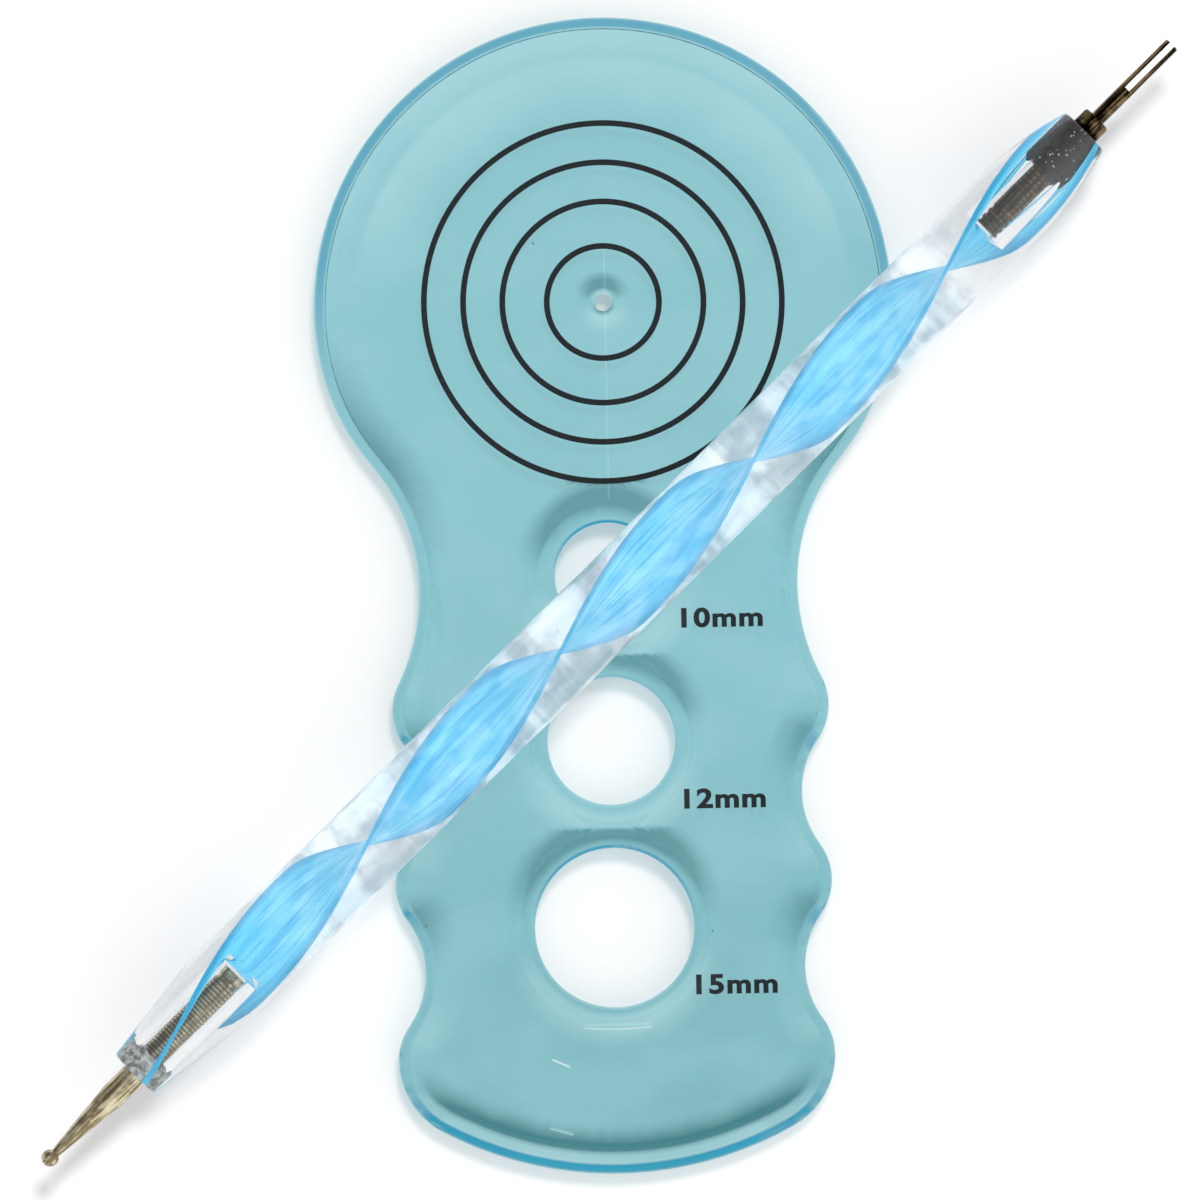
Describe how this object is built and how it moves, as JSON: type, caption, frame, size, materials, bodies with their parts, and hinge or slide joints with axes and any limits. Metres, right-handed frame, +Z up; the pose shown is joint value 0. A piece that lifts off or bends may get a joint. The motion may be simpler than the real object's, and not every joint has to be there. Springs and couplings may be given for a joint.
{
  "type": "quilling tool",
  "caption": "Clear curling plate with a pin hole, printed rings and sizing holes, and a double-ended quilling pen with a slotted needle and a ball stylus lying across it.",
  "frame": {"origin": "on the pin hole's axis, in the plate's underside", "axes": "+Z up along the pin hole, +Y along the plate from the pin hole to the top of its round head, +X across the plate"},
  "size_m": [0.1089, 0.1092, 0.0116],
  "materials": {
    "plate_plastic": "clear teal blue moulding, polished",
    "ink": "printed black ink",
    "clear_acrylic": "clear acrylic, polished",
    "ribbon_blue": "sky blue strip with fine streaks along it",
    "stylus_metal": "nickel plate worn warm",
    "needle_metal": "darkened steel",
    "glue_grey": "set adhesive, grey and cloudy",
    "glue_dark": "set adhesive, dark with bubbles"
  },
  "bodies": {
    "plate": {"sizing_plate": "plate_plastic", "size_rings": "ink"},
    "pen": {"handle": "clear_acrylic", "ribbon": "ribbon_blue", "stylus_shank": "stylus_metal", "stylus_ball": "stylus_metal", "stylus_glue": "glue_grey", "needle_holder": "needle_metal", "slotted_needle": "needle_metal", "needle_glue": "glue_dark"}
  },
  "joints": [
    {"name": "pen_lift", "type": "slide", "parent": "plate", "child": "pen", "axis": [0, 0, 1], "range_m": [0, 0.06]}
  ]
}
